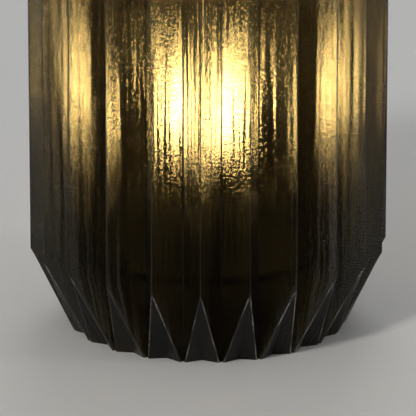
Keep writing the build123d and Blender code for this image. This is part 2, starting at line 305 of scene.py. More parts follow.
class Nodes:
    """A material's node tree, with short calls to add and join nodes."""

    def __init__(self, name: str) -> None:
        """Make an empty material with an output node.

        Args:
            name: the material's name.
        """
        self.material = bpy.data.materials.new(name)
        self.material.use_nodes = True
        self.tree = self.material.node_tree
        self.tree.nodes.clear()
        self.output = self.tree.nodes.new("ShaderNodeOutputMaterial")

    def add(self, kind: str, settings: Optional[dict] = None, **inputs: Input) -> bpy.types.Node:
        """Add a node, set its properties and fill its inputs.

        Args:
            kind: the node type without its ShaderNode prefix.
            settings: node properties by name.
            inputs: values or output sockets by input name, with underscores for spaces, or
                by a name that ends with the input's number.

        Returns:
            The node.
        """
        node = self.tree.nodes.new("ShaderNode" + kind)
        for key, value in (settings or {}).items():
            setattr(node, key, value)
        for key, value in inputs.items():
            label, _, place = key.rpartition("_")
            numbered = place.isdigit() and label
            self.fill(node.inputs[int(place) if numbered else key.replace("_", " ")], value)
        return node

    def fill(self, socket: Socket, value: Input) -> None:
        """Give an input socket a value or join an output socket to it.

        Args:
            socket: the input socket.
            value: its value, or the output socket.
        """
        if isinstance(value, Socket):
            self.tree.links.new(value, socket)
        elif isinstance(value, tuple) and len(value) == 3 and socket.type == "RGBA":
            socket.default_value = (*value, 1.0)
        else:
            socket.default_value = value

    def mix(self, factor: Input, first: Input, second: Input) -> Socket:
        """Blend two colours, the first at 0 and the second at 1, and return the socket."""
        node = self.add("Mix", {"data_type": "RGBA"}, Mix_0=factor, Mix_6=first, Mix_7=second)
        return node.outputs[2]

    def tones(self, factor: Input, colour: Colour, shares: Span) -> Socket:
        """Blend two tones of a colour, each a share of it, and return the socket."""
        first, second = (tuple(share * part for part in colour) for share in shares)
        return self.mix(factor, first, second)

    def maths(self, operation: str, first: Input, second: Input) -> Socket:
        """Combine two numbers with a Math node and return its output socket."""
        node = self.add("Math", {"operation": operation}, Math_0=first, Math_1=second)
        return node.outputs[0]

    def product(self, first: Input, second: Input) -> Socket:
        """Multiply two numbers and return the result's socket."""
        return self.maths("MULTIPLY", first, second)

    def greater(self, first: Input, second: Input) -> Socket:
        """Take the greater of two numbers and return its socket."""
        return self.maths("MAXIMUM", first, second)

    def spread(self, value: Input, span: Span, low: float, high: float) -> Socket:
        """Map a number from a span to another range, clamped, and return the socket."""
        ends = {"From_Min": span[0], "From_Max": span[1], "To_Min": low, "To_Max": high}
        return self.add("MapRange", Value=value, **ends).outputs[0]

    def uneven(self, noise: Input, level: float, spans: Span) -> Socket:
        """A level that a noise lowers and raises by as much as the two ends of a span."""
        return self.spread(noise, NOISE_SPAN, level + spans[0], level + spans[1])

    def place(self, scale: Vector = (1.0, 1.0, 1.0)) -> Socket:
        """Object coordinates in metres times a scale, as a vector socket."""
        own = self.add("TexCoord").outputs["Object"]
        return self.add("Mapping", Vector=own, Scale=scale).outputs[0]

    def scaled(self, vector: Input, scale: Vector) -> Socket:
        """Multiply a vector by a factor along each axis and return the result's socket."""
        node = self.add("VectorMath", {"operation": "MULTIPLY"}, Vector_0=vector, Vector_1=scale)
        return node.outputs[0]

    def attribute(self, name: str) -> Socket:
        """One of the mesh's named numbers, as a socket."""
        return self.add("Attribute", {"attribute_name": name}).outputs["Fac"]

    def noise(self, vector: Input, scale: float, detail: float = 2.0, roughness: float = 0.5,
              distortion: float = 0.0) -> Socket:
        """Noise values between 0 and 1, as a socket."""
        node = self.add(
            "TexNoise", Vector=vector, Scale=scale, Detail=detail, Roughness=roughness,
            Distortion=distortion,
        )
        return node.outputs[0]

    def bump(self, height: Input, distance: float, normal: Optional[Socket] = None) -> Socket:
        """Bend a normal by a height.

        Args:
            height: the height, as a share of the distance.
            distance: the greatest height, in metres.
            normal: the normal, or None for the surface's own.

        Returns:
            The bent normal's socket.
        """
        node = self.add("Bump", Height=height, Distance=distance)
        if normal is not None:
            self.fill(node.inputs["Normal"], normal)
        return node.outputs[0]

    def finish(self, **inputs: Input) -> Material:
        """Join a Principled shader to the output.

        Args:
            inputs: the shader's inputs, as in add().

        Returns:
            The finished material.
        """
        shader = self.add("BsdfPrincipled", **inputs)
        self.tree.links.new(shader.outputs[0], self.output.inputs["Surface"])
        return self.material


class SheetNodes(Nodes):
    """The nodes of a paper, with the place on the sheet's UV map in millimetres."""

    def __init__(self, name: str) -> None:
        """Make the material and read the UV map.

        Args:
            name: the material's name.
        """
        super().__init__(name)
        sheet = self.add("UVMap", {"uv_map": "sheet"}).outputs[0]
        scale = self.add("VectorMath", {"operation": "SCALE"}, Vector=sheet, Scale=1 / MILLIMETRE)
        self.millimetres = scale.outputs[0]

    def speckle(self, pace: Union[float, Vector], detail: float = 2.0) -> Socket:
        """Noise on the sheet.

        Args:
            pace: number of bumps in a millimetre, or that number along each axis.
            detail: the noise's detail.

        Returns:
            The noise's socket.
        """
        if isinstance(pace, tuple):
            return self.noise(self.scaled(self.millimetres, pace), 1.0, detail)
        return self.noise(self.millimetres, pace, detail)


@dataclass(frozen=True)
class Relief:
    """The paper's embossing: a grain of wavy bands, fine ribs and long streaks.

    It lies on the sheet's UV map in millimetres, across the paper and then up it, and a
    pace is a number of bumps in a millimetre.
    """

    grain_pitch: float = 1.25 * MILLIMETRE
    grain_stretch: Vector = (0.5, 1.0, 1.0)
    grain_depth: float = 0.21 * MILLIMETRE
    inner_grain_depth: float = 0.03 * MILLIMETRE
    band_bend: float = 9.0
    band_detail: float = 2.0
    band_detail_scale: float = 2.0
    band_share: float = 0.7
    crumb_pace: float = 0.9
    crumb_share: float = 0.6
    rib_pace: Vector = (0.6, 4.0, 1.0)
    rib_slope: float = 0.8
    rib_lean: float = 0.035
    streak_pace: Vector = (0.16, 0.008, 1.0)
    streak_depth: float = 1.4 * MILLIMETRE

    def grain(self, nodes: SheetNodes) -> Socket:
        """Emboss wavy bands across the paper, with crumbs among them.

        Args:
            nodes: the paper's nodes.

        Returns:
            The grain's height.
        """
        stretched = nodes.scaled(nodes.millimetres, self.grain_stretch)
        bands = nodes.add(
            "TexWave",
            {"wave_type": "BANDS", "bands_direction": "Y"},
            Vector=stretched,
            Scale=MILLIMETRE / self.grain_pitch * ONE_BAND,
            Distortion=self.band_bend,
            Detail=self.band_detail,
            Detail_Scale=self.band_detail_scale,
        ).outputs[1]
        crumbs = nodes.noise(stretched, self.crumb_pace)
        return nodes.maths(
            "ADD", nodes.product(bands, self.band_share), nodes.product(crumbs, self.crumb_share)
        )

    def ribs(self, nodes: SheetNodes) -> Socket:
        """Tilt the normal up and down over fine ribs, and a little up on the whole.

        Args:
            nodes: the paper's nodes.

        Returns:
            The ribs' normal.
        """
        level = NO_TILT + self.rib_lean
        low, high = level - self.rib_slope / 2, level + self.rib_slope / 2
        tilt = nodes.spread(nodes.speckle(self.rib_pace, detail=0.0), WHOLE, low, high)
        colour = nodes.add("CombineXYZ", X=NO_TILT, Y=tilt, Z=1.0).outputs[0]
        return nodes.add("NormalMap", {"uv_map": "sheet"}, Color=colour).outputs[0]

    def normals(self, nodes: SheetNodes) -> tuple[Socket, Socket]:
        """Join the grain, the ribs and the streaks.

        Args:
            nodes: the paper's nodes.

        Returns:
            The normals of the embossed face and of the nearly smooth inner face.
        """
        grain = self.grain(nodes)
        streaks = nodes.speckle(self.streak_pace, detail=1.0)
        streaked = nodes.bump(streaks, self.streak_depth, self.ribs(nodes))
        embossed = nodes.bump(grain, self.grain_depth, streaked)
        return embossed, nodes.bump(grain, self.inner_grain_depth)


@dataclass(frozen=True)
class WearAndPaintedLight:
    """How the folds mark the paper: worn ridges and dark fold lines, with painted glints on the
    creases and painted shade on the gussets.

    A band gives the distances from a fold at which its mark starts to fade and is gone. A
    pace is a number of bumps in a millimetre, and a cut is the part of a noise's range in
    which a pattern comes in.
    """

    ridge_band: Span = (0.5 * MILLIMETRE, 1.0 * MILLIMETRE)
    fold_band: Span = (0.2 * MILLIMETRE, 0.6 * MILLIMETRE)
    # band along a crease in which the painted glints lie
    glint_band: Span = (0.25 * MILLIMETRE, 0.6 * MILLIMETRE)
    line_band: Span = (0.4 * MILLIMETRE, 1.1 * MILLIMETRE)
    fleck_pace: float = 1.1
    fleck_cut: Span = (0.42, 0.6)
    least_fleck: float = 0.25
    patch_pace: float = 0.035
    patch_cut: Span = (0.46, 0.54)
    dot_pace: float = 1.2
    dot_cut: Span = (0.5, 0.6)
    fold_shade: float = 0.02
    # share of tint left on the gussets: their doubled paper, and painted shade on these
    # downward-facing faces
    gusset_shade: float = 0.25

    def worn(self, nodes: SheetNodes) -> Socket:
        """Wear the dark face along the ridges and, in flecks, on the folds.

        Args:
            nodes: the paper's nodes.

        Returns:
            How far it is worn, from 0 to 1.
        """
        crease, inner = nodes.attribute("crease_distance"), nodes.attribute("gusset_distance")
        folded = nodes.attribute("folded")
        flecks = nodes.speckle(self.fleck_pace)
        flecks = nodes.spread(flecks, self.fleck_cut, self.least_fleck, 1.0)
        on_folds = nodes.product(flecks, nodes.spread(crease, self.fold_band, 1.0, 0.0))
        on_ridges = nodes.product(
            nodes.maths("SUBTRACT", 1.0, folded), nodes.spread(inner, self.ridge_band, 1.0, 0.0)
        )
        return nodes.greater(nodes.product(on_folds, folded), on_ridges)

    def painted_glints(self, nodes: SheetNodes) -> Socket:
        """Paint glints on the folds' creases as pale dots, in some patches.

        Args:
            nodes: the paper's nodes.

        Returns:
            How strong the painted glints are, from 0 to 1.
        """
        # Painted glints: pale dots along the creases of the folds, standing in for glints of light.
        crease = nodes.spread(nodes.attribute("crease_distance"), self.glint_band, 1.0, 0.0)
        patches, dots = (
            nodes.spread(nodes.speckle(pace, detail=1.0), cut, 0.0, 1.0)
            for pace, cut in ((self.patch_pace, self.patch_cut), (self.dot_pace, self.dot_cut))
        )
        glinting_creases = nodes.product(nodes.attribute("folded"), crease)
        return nodes.product(glinting_creases, nodes.product(patches, dots))

    def shade(self, nodes: SheetNodes) -> Socket:
        """Darken the fold lines and, less, the gussets, for their doubled paper and as painted
        shade.

        Args:
            nodes: the paper's nodes.

        Returns:
            The share of light that the folds leave.
        """
        inner, valley = nodes.attribute("gusset_distance"), nodes.attribute("valley_distance")
        lines = nodes.product(
            nodes.spread(inner, self.line_band, self.fold_shade, 1.0),
            nodes.spread(valley, self.line_band, self.fold_shade, 1.0),
        )
        # painted shade on the gussets, together with their doubled paper
        gusset = nodes.spread(nodes.attribute("gusset"), WHOLE, 1.0, self.gusset_shade)
        return nodes.product(lines, gusset)


@dataclass(frozen=True)
class PleatingPaper:
    """Dark smoky translucent paper with a glossy face and a fine embossed grain.

    Light passes both faces of the sheet through rough refraction, so it stays brightest
    where the eye looks towards the bulb, and each face mirrors its neighbours. The inner
    face has a smooth strong gloss, which shows the bulb again in sharp bands.
    """

    name: str = "pleating_paper"
    tint: Colour = (0.13, 0.103, 0.045)
    passing: float = 0.98
    scatter: float = 0.14
    index: float = 1.25
    gloss: float = 0.07
    cloud_pace: float = 0.16
    least_cloud: float = 0.8
    worn_colour: Colour = (0.05, 0.049, 0.046)
    ridge_colour: Colour = (0.008, 0.007, 0.006)
    ridge_coat: float = 0.35
    # pale colour of the painted glints on the fold creases
    glint_colour: Colour = (0.8, 0.79, 0.76)
    # light passed where the paper is worn or carries painted glints
    worn_and_glint_passing: float = 0.1
    outer_coat: float = 0.22
    gusset_coat: float = 0.02
    coat_index: float = 1.9
    relief: Relief = Relief()
    wear_and_painted_light: WearAndPaintedLight = WearAndPaintedLight()

    def colour(self, nodes: SheetNodes, worn: Socket, painted_glints: Socket) -> Socket:
        """Cloud the tint, with painted shade on the gussets, and show the worn face and the pale
        painted glints on the creases.

        Args:
            nodes: the paper's nodes.
            worn, painted_glints: how far the paper is worn, and how strong the painted glints are.

        Returns:
            The colour's socket.
        """
        drift = nodes.spread(nodes.speckle(self.cloud_pace), NOISE_SPAN, self.least_cloud, 1.0)
        light = nodes.product(self.wear_and_painted_light.shade(nodes), drift)
        rubbed = nodes.mix(nodes.attribute("folded"), self.ridge_colour, self.worn_colour)
        dark_face = nodes.mix(worn, nodes.mix(light, BLACK, self.tint), rubbed)
        # pale dots of painted glint over the creases
        return nodes.mix(painted_glints, dark_face, self.glint_colour)

    def coat(self, nodes: SheetNodes, worn: Socket) -> Socket:
        """Make the gloss full inside, weaker outside and least in a gusset.

        Args:
            nodes: the paper's nodes.
            worn: how far the paper is worn.

        Returns:
            The gloss's strength.
        """
        outer = nodes.spread(nodes.attribute("gusset"), WHOLE, self.outer_coat, self.gusset_coat)
        outer = nodes.greater(outer, nodes.product(worn, self.ridge_coat))
        return nodes.greater(outer, nodes.attribute("inside"))

    def material(self) -> Material:
        """Build the material.

        Returns:
            The material.
        """
        nodes = SheetNodes(self.name)
        worn, painted_glints = self.wear_and_painted_light.worn(nodes), self.wear_and_painted_light.painted_glints(nodes)
        embossed, smooth = self.relief.normals(nodes)
        inside = nodes.attribute("inside")
        mirror = nodes.add(
            "Mix", {"data_type": "VECTOR"}, Mix_0=inside, Mix_4=embossed, Mix_5=smooth
        )
        return nodes.finish(
            Base_Color=self.colour(nodes, worn, painted_glints),
            Roughness=self.scatter,
            IOR=self.index,
            Transmission_Weight=nodes.spread(
                nodes.greater(worn, painted_glints), WHOLE, self.passing, self.worn_and_glint_passing
            ),
            Coat_Weight=self.coat(nodes, worn),
            Coat_Roughness=self.gloss,
            Coat_IOR=self.coat_index,
            Normal=embossed,
            Coat_Normal=mirror.outputs[1],
        )


@dataclass(frozen=True)
class Surface:
    """A finish with a fine bump, clouded in tone and roughness.

    The grain of the bump and the cloud are scales of noise over metres.
    """

    name: str
    colour: Colour
    roughness: float
    metallic: float = 0.0
    specular: float = 0.5
    coat: float = 0.0
    coat_roughness: float = 0.1
    grain: float = 1400.0
    stretch: Vector = (1.0, 1.0, 1.0)
    depth: float = 0.03 * MILLIMETRE
    cloud: float = 60.0
    cloud_detail: float = 3.0
    tones: Span = (0.8, 1.2)
    unevenness: Span = (-0.05, 0.06)
    grain_dulls: bool = False

    def material(self) -> Material:
        """Build the material.

        Returns:
            The material, whose roughness follows the cloud, or the grain if it dulls.
        """
        nodes = Nodes(self.name)
        grain = nodes.noise(nodes.place(self.stretch), self.grain)
        cloud = nodes.noise(nodes.place(), self.cloud, self.cloud_detail)
        dulling = grain if self.grain_dulls else cloud
        return nodes.finish(
            Base_Color=nodes.tones(cloud, self.colour, self.tones),
            Metallic=self.metallic,
            Roughness=nodes.uneven(dulling, self.roughness, self.unevenness),
            Specular_IOR_Level=self.specular,
            Coat_Weight=self.coat,
            Coat_Roughness=self.coat_roughness,
            Normal=nodes.bump(grain, self.depth),
        )


@dataclass(frozen=True)
class Paint(Surface):
    """Powder coat or lacquer with an orange-peel face."""


@dataclass(frozen=True)
class Metal(Surface):
    """Plated or rolled metal with fine turning marks round the lamp's axis."""

    metallic: float = 1.0
    grain: float = 2500.0
    stretch: Vector = (0.05, 0.05, 1.0)
    depth: float = 0.01 * MILLIMETRE
    cloud: float = 90.0
    tones: Span = (0.75, 1.0)
    unevenness: Span = (0.0, 0.15)


@dataclass(frozen=True)
class Moulding(Surface):
    """Moulded plastic or porcelain with a faint surface ripple."""

    grain: float = 700.0
    depth: float = 0.02 * MILLIMETRE
    cloud: float = 50.0
    cloud_detail: float = 2.0
    tones: Span = (0.9, 1.0)
    unevenness: Span = (-0.04, 0.04)
    grain_dulls: bool = True


@dataclass(frozen=True)
class Felt:
    """Dark wool felt: matted fibres with a soft sheen."""

    name: str = "felt"
    colour: Colour = (0.035, 0.035, 0.038)
    roughness: float = 0.95
    sheen: float = 0.6
    sheen_roughness: float = 0.5
    fibres: float = 1500.0
    clumps: float = 300.0
    depth: float = 0.25 * MILLIMETRE
    tones: Span = (0.5, 1.9)

    def material(self) -> Material:
        """Build the material.

        Returns:
            The material.
        """
        nodes = Nodes(self.name)
        place = nodes.place()
        fibres = nodes.noise(place, self.fibres, detail=4.0, roughness=0.7, distortion=1.5)
        clumps = nodes.noise(place, self.clumps, detail=3.0)
        return nodes.finish(
            Base_Color=nodes.tones(fibres, self.colour, self.tones),
            Roughness=self.roughness,
            Sheen_Weight=self.sheen,
            Sheen_Roughness=self.sheen_roughness,
            Normal=nodes.bump(nodes.maths("ADD", fibres, clumps), self.depth),
        )


@dataclass(frozen=True)
class Glow:
    """A frosted diffuser that gives off warm light, most of it from its crown."""

    name: str
    colour: Colour
    strength: float
    rim_share: float = 0.1
    ramp: Span = (0.3, 0.8)
    skin: Colour = (0.9, 0.88, 0.84)
    tones: Span = (0.94, 1.0)
    roughness: float = 0.45
    frosting: float = 900.0
    depth: float = 0.02 * MILLIMETRE

    def material(self, rim: float, crown: float) -> Material:
        """Build the material.

        Args:
            rim, crown: heights of the diffuser's rim and top, in metres.

        Returns:
            The material.
        """
        nodes = Nodes(self.name)
        height = nodes.add("SeparateXYZ", Vector=nodes.place()).outputs[2]
        low, high = ((1 - share) * rim + share * crown for share in self.ramp)
        frosting = nodes.noise(nodes.place(), self.frosting)
        return nodes.finish(
            Base_Color=nodes.tones(frosting, self.skin, self.tones),
            Roughness=self.roughness,
            Emission_Color=self.colour,
            Emission_Strength=nodes.spread(
                height, (low, high), self.rim_share * self.strength, self.strength
            ),
            Normal=nodes.bump(frosting, self.depth),
        )


@dataclass
class PleatedShade:
    """Two pleated sheets that make the ring, and the strips and bands that hold it."""

    pleats: int = 23
    valley_radius: float = 91.0 * MILLIMETRE
    fold_height: float = 55.0 * MILLIMETRE
    crease_setback: float = 3.0 * MILLIMETRE
    gusset_inset: float = 5.0 * MILLIMETRE
    paper: float = 0.45 * MILLIMETRE
    nose: float = 0.55 * MILLIMETRE
    tip_share: float = 0.35
    softness: float = 0.7 * MILLIMETRE
    most_rounded: float = 0.45
    bow: float = 0.25 * MILLIMETRE
    bow_depths: Span = (0.2, 1.0)
    bow_paces: Span = (0.6, 1.6)
    bow_length: float = 40.0 * MILLIMETRE
    bow_steady: float = 0.4
    bow_start: float = 0.2
    facet_columns: int = 7
    gusset_columns: int = 3
    corner_columns: int = 3
    fold_rows: int = 16
    body_rows: int = 44
    seed: int = 7
    finish: PleatingPaper = field(default_factory=PleatingPaper)
    seam: Moulding = Moulding("seam_film", (0.03, 0.028, 0.024), 0.35)
    hoops: Paint = Paint("black_lacquer", (0.004, 0.004, 0.004), 0.75, specular=0.1)
    height: float = field(init=False)
    ridge_radius: float = field(init=False)
    joint_y: float = field(init=False)
    half_pitch: float = field(init=False)

    def __post_init__(self) -> None:
        """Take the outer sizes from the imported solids."""
        front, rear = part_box("front_sheet"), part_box("rear_sheet")
        self.height = rear[1][2]
        self.ridge_radius = rear[1][1]
        self.joint_y = front[1][1]
        self.half_pitch = math.pi / self.pleats

    def heights(self) -> Array:
        """Heights of the rows of points.

        Returns:
            The heights, rising, closer together in the two folds.
        """
        foot = np.linspace(0.0, self.fold_height, self.fold_rows, endpoint=False)
        body = np.linspace(self.fold_height, self.height - self.fold_height, self.body_rows)
        return np.concatenate([foot, body, self.height - foot[::-1]])

    def corner_points(self, heights: Array) -> Array:
        """Fold corners of every row: valley, crease, folded-in ridge and crease of each pleat.

        In a pleat's own frame the ridge stands at (R, 0) and the valleys at radius r, half
        a pitch either side. From the apex to the rim the crease points run in a straight
        line from the ridge's nose to the crease ends, and the ridge runs inwards.

        Args:
            heights: the rows' heights.

        Returns:
            An array of shape (rows, FOLDS * pleats, 2).
        """
        ridge = np.array([self.ridge_radius, 0.0])
        to_valley = np.array([math.cos(self.half_pitch), math.sin(self.half_pitch)])
        valley = self.valley_radius * to_valley
        pleat = valley - ridge
        length = np.linalg.norm(pleat)
        nose = ridge + pleat * (self.nose / length)
        crease_end = ridge + pleat * (1 - self.crease_setback / length)
        tip = np.array([self.ridge_radius - self.nose * self.tip_share, 0.0])
        gusset = np.array([crease_end[0] - self.gusset_inset, 0.0])
        level = np.minimum(heights, self.height - heights)
        folded = np.clip(1 - level / self.fold_height, 0.0, 1.0)[:, None]
        crease = nose + (crease_end - nose) * folded
        middle = tip + (gusset - tip) * folded
        mirror = np.array([1.0, -1.0])
        valleys = np.broadcast_to(valley * mirror, crease.shape)
        flat = np.stack([valleys, crease * mirror, middle, crease], axis=1)
        turn = math.pi / 2 + 2 * self.half_pitch * np.arange(self.pleats)
        cos, sin = np.cos(turn)[None, :, None], np.sin(turn)[None, :, None]
        x, y = flat[:, None, :, 0], flat[:, None, :, 1]
        turned_points = np.stack([x * cos - y * sin, x * sin + y * cos], axis=-1)
        return turned_points.reshape(len(heights), FOLDS * self.pleats, 2)

    def section(self, corners: Array) -> tuple[Array, Array]:
        """Round the corners and divide the flats of every row.

        A rounded corner is the quadratic curve (1-t)^2 A + 2t(1-t) P + t^2 B about its
        corner P, where A and B lie on the two flats at the softness from P, or at the
        share most_rounded of a flat that is shorter.

        Args:
            corners: fold corners, of shape (rows, corners, 2).

        Returns:
            The points, of shape (rows, columns, 2), and for each column the share of its
            facet's width at which it lies, or OFF_FACET.
        """
        before, after = np.roll(corners, 1, axis=1), np.roll(corners, -1, axis=1)
        back, ahead = before - corners, after - corners
        back_length = np.linalg.norm(back, axis=-1, keepdims=True)
        ahead_length = np.linalg.norm(ahead, axis=-1, keepdims=True)
        shorter = np.minimum(back_length, ahead_length)
        cut = np.minimum(self.softness, self.most_rounded * shorter)
        start, end = corners + back * cut / back_length, corners + ahead * cut / ahead_length
        t = np.linspace(0.0, 1.0, self.corner_columns + 1)[None, None, :, None]
        first, peak, last = start[:, :, None], corners[:, :, None], end[:, :, None]
        curve = (1 - t) ** 2 * first + 2 * t * (1 - t) * peak + t**2 * last
        following = np.roll(start, -1, axis=1)
        parts, shares = [], []
        for corner in range(FOLDS):
            chosen = slice(corner, None, FOLDS)
            is_facet = corner in (0, FOLDS - 1)
            count = self.facet_columns if is_facet else self.gusset_columns
            share = np.arange(1, count + 1) / (count + 1)
            here, there = end[:, chosen, None], following[:, chosen, None]
            parts += [curve[:, chosen], here + (there - here) * share[:, None]]
            shares.append(np.full(self.corner_columns + 1, OFF_FACET))
            shares.append(share if is_facet else np.full(count, OFF_FACET))
        rows = corners.shape[0]
        points = np.concatenate(parts, axis=2).reshape(rows, -1, 2)
        return points, np.tile(np.concatenate(shares), self.pleats)

    def ring(self) -> tuple[Array, Array, Array, dict[str, Array]]:
        """The whole ring's outer face.

        Returns:
            Points of shape (rows, columns, 3), outward unit normals of the same shape, UV
            coordinates in metres along and up the paper, of shape (rows, columns, 2), and
            each point's distances from the nearest crease, gusset fold and valley, with
            whether it lies in a gusset and whether it lies in the folds at either end.
        """
        heights = self.heights()
        flat, share = self.section(self.corner_points(heights))
        level = np.broadcast_to(heights[:, None, None], (*flat.shape[:2], 1))
        points = np.concatenate([flat, level], axis=-1)
        points = points + self.outward(points) * self.bulge(heights, share)[..., None]
        step = np.linalg.norm(flat - np.roll(flat, 1, axis=1), axis=-1)
        step[:, 0] = 0.0
        run = np.cumsum(step, axis=1)
        full_width = run[len(heights) // 2, -1]
        uv = np.stack([run * (full_width / run[:, -1:]), level[..., 0]], axis=-1)
        return points, self.outward(points), uv, self.marks(heights, run)

    def marks(self, heights: Array, run: Array) -> dict[str, Array]:
        """The numbers that the paper's material reads at each point.

        Args:
            heights: the rows' heights.
            run: length along the sheet at each point, of shape (rows, columns).

        Returns:
            Arrays of the same shape as run, by name.
        """
        columns = run.shape[1]
        per_pleat = columns // self.pleats
        spans = [self.facet_columns, self.gusset_columns, self.gusset_columns]
        starts = np.cumsum([0] + [self.corner_columns + 1 + span for span in spans])
        centres = starts + self.corner_columns // 2
        valley, crease, ridge, other_crease = (
            per_pleat * np.arange(self.pleats) + centre for centre in centres
        )
        folded = (np.minimum(heights, self.height - heights) < self.fold_height)[:, None]
        place = np.arange(columns) % per_pleat
        return {
            "valley_distance": self.nearest(run, valley),
            "crease_distance": self.nearest(run, np.concatenate([crease, other_crease])),
            "gusset_distance": self.nearest(run, ridge),
            "gusset": folded * ((place > centres[1]) & (place < centres[3])),
            "folded": folded * np.ones(columns),
        }

    @staticmethod
    def nearest(run: Array, columns: Array) -> Array:
        """Distance along the sheet, by its run, from each point to the nearest of some columns."""
        return np.abs(run[:, :, None] - run[:, columns][:, None, :]).min(axis=-1)

    def outward(self, points: Array) -> Array:
        """Normals of the ring: the cross product of its steps along and up the sheet.

        Args:
            points: the ring's points, of shape (rows, columns, 3).

        Returns:
            Outward unit vectors of the same shape.
        """
        along = np.roll(points, -1, axis=1) - np.roll(points, 1, axis=1)
        up = np.gradient(points, axis=0)
        return unit(np.cross(along, up))

    def bulge(self, heights: Array, share: Array) -> Array:
        """How far each point stands inside the flat pleats, because paper is never flat.

        Each facet is hollowed by a sine across its width. A steady share of its depth
        differs from facet to facet, and the rest drifts slowly up the sheet.

        Args:
            heights: the rows' heights.
            share: each column's share of its facet's width, or OFF_FACET.

        Returns:
            Offsets along the normal, of shape (rows, columns), never positive.
        """
        random = np.random.default_rng(self.seed)
        across = np.where(share < 0, 0.0, np.sin(math.pi * np.clip(share, 0.0, 1.0)))
        fall = np.diff(np.concatenate([[OFF_FACET], share]))
        facet = np.cumsum(fall < OFF_FACET / 2)
        ends = (self.bow_depths, (0.0, 2 * math.pi), self.bow_paces)
        depth, phase, pace = (random.uniform(*span, facet.max() + 1)[facet] for span in ends)
        wave = 0.5 + 0.5 * np.sin(phase + pace * heights[:, None] / self.bow_length)
        level = np.minimum(heights, self.height - heights)[:, None]
        held = np.clip(level / self.fold_height - self.bow_start, 0.0, 1.0)
        hollow = self.bow_steady * depth + (1 - self.bow_steady) * wave
        return -self.bow * across * hollow * held

    def sheet(self, name: str, columns: Array, points: Array, normals: Array, uv: Array,
              values: dict[str, Array]) -> Object:
        """One sheet of the ring, closed: outer face, inner face and all four edges.

        Args:
            name: the object's name.
            columns: the ring's columns that the sheet covers, in order.
            points, normals, uv, values: what ring() returns.

        Returns:
            The sheet's object.
        """
        outer = points[:, columns]
        inner = outer - normals[:, columns] * self.paper
        loop = np.concatenate([outer, inner[::-1]], axis=0)
        loop_uv = np.concatenate([uv[:, columns], uv[::-1][:, columns]], axis=0)
        both_faces = {
            key: np.concatenate([part[:, columns], part[::-1][:, columns]], axis=0)
            for key, part in values.items()
        }
        both_faces["inside"] = np.repeat([0.0, 1.0], len(outer))[:, None] * np.ones(len(columns))
        rows, count = loop.shape[:2]
        quads = grid_faces(rows, count, True, False)
        half = rows // 2
        step = np.arange(half - 1)
        first = np.stack([step, step + 1, rows - 2 - step, rows - 1 - step], axis=-1) * count
        last = first[:, ::-1] + count - 1
        faces = [quads, first, last]
        return mesh_object(
            name, loop.reshape(-1, 3), faces, uv=loop_uv.reshape(-1, 2), values=both_faces
        )

    def build(self) -> list[Object]:
        """Make and dress the shade's pieces.

        Returns:
            The new pieces.
        """
        points, normals, uv, values = self.ring()
        paper = self.finish.material()
        columns = points.shape[1]
        middle = points.shape[0] // 2
        front = points[middle, :, 1] < self.joint_y - HAIR
        starts = np.flatnonzero(front & ~np.roll(front, 1))
        ends = np.flatnonzero(front & ~np.roll(front, -1))
        first, last = int(starts[0]), int(ends[0])
        span = (last - first) % columns
        # The sheets share the column of points at either joint.
        front_columns = (first + np.arange(-1, span + 2)) % columns
        rear_columns = (last + 1 + np.arange(columns - span - 1)) % columns
        pieces = []
        for name, chosen in (("front_sheet", front_columns), ("rear_sheet", rear_columns)):
            made = self.sheet(name + "_paper", chosen, points, normals, uv, values)
            pieces.append(settle(made, name, Body.SHADE, paper))
        dress(["left_seam_strip", "right_seam_strip"], self.seam.material())
        dress(["lower_hoop", "upper_hoop"], self.hoops.material())
        return pieces


@dataclass
class LampBase:
    """The felt, the weight under its dish, the cord's inlet and the stem."""

    felt_edge: float = 0.6 * MILLIMETRE
    felt_ruffle: float = 0.12 * MILLIMETRE
    felt_waves: Vector = (7.0, 19.0, 43.0)
    sides: int = 160
    seed: int = 11
    felt: Felt = field(default_factory=Felt)
    steel: Paint = Paint("black_steel", (0.02, 0.02, 0.021), 0.42)
    inlet: Moulding = Moulding("inlet_plastic", (0.018, 0.018, 0.018), 0.38)
    zinc: Metal = Metal("zinc", (0.62, 0.62, 0.6), 0.32)
    tube: Metal = Metal("stem_steel", (0.5, 0.5, 0.48), 0.35)

    def felt_ring(self) -> Object:
        """The felt under the weight: a flat ring with soft edges.

        Its rim wanders inwards by a sum of three sines of random phase, as cut felt does.

        Returns:
            The felt's object.
        """
        low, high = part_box("felt_pad")
        inner = bore_radius("felt_pad")
        radius, height = rounded_profile(inner, high[0], low[2], high[2], self.felt_edge)
        angle = round_angles(self.sides)
        count = len(self.felt_waves)
        phases = np.random.default_rng(self.seed).uniform(0.0, 2 * math.pi, (count, 1))
        waves = np.sin(np.array(self.felt_waves)[:, None] * angle + phases).sum(axis=0)
        ruffle = self.felt_ruffle * (waves / (2 * count) - 0.5)
        outer_share = np.clip((radius - inner) / (high[0] - inner), 0.0, 1.0)[:, None]
        made = turned("felt_ring", radius[:, None] + ruffle * outer_share, height, self.sides)
        return settle(made, "felt_pad", Body.BASE, self.felt.material())

    def build(self) -> list[Object]:
        """Make the felt and dress the base.

        Returns:
            The new pieces.
        """
        dress(["base_plate", "base_cover", "column"], self.steel.material())
        dress(["cord_gland", "gland_nut"], self.inlet.material())
        dress(["cover_screws", "stem_nut", "stem_washer"], self.zinc.material())
        dress(["stem_tube"], self.tube.material())
        return [self.felt_ring()]


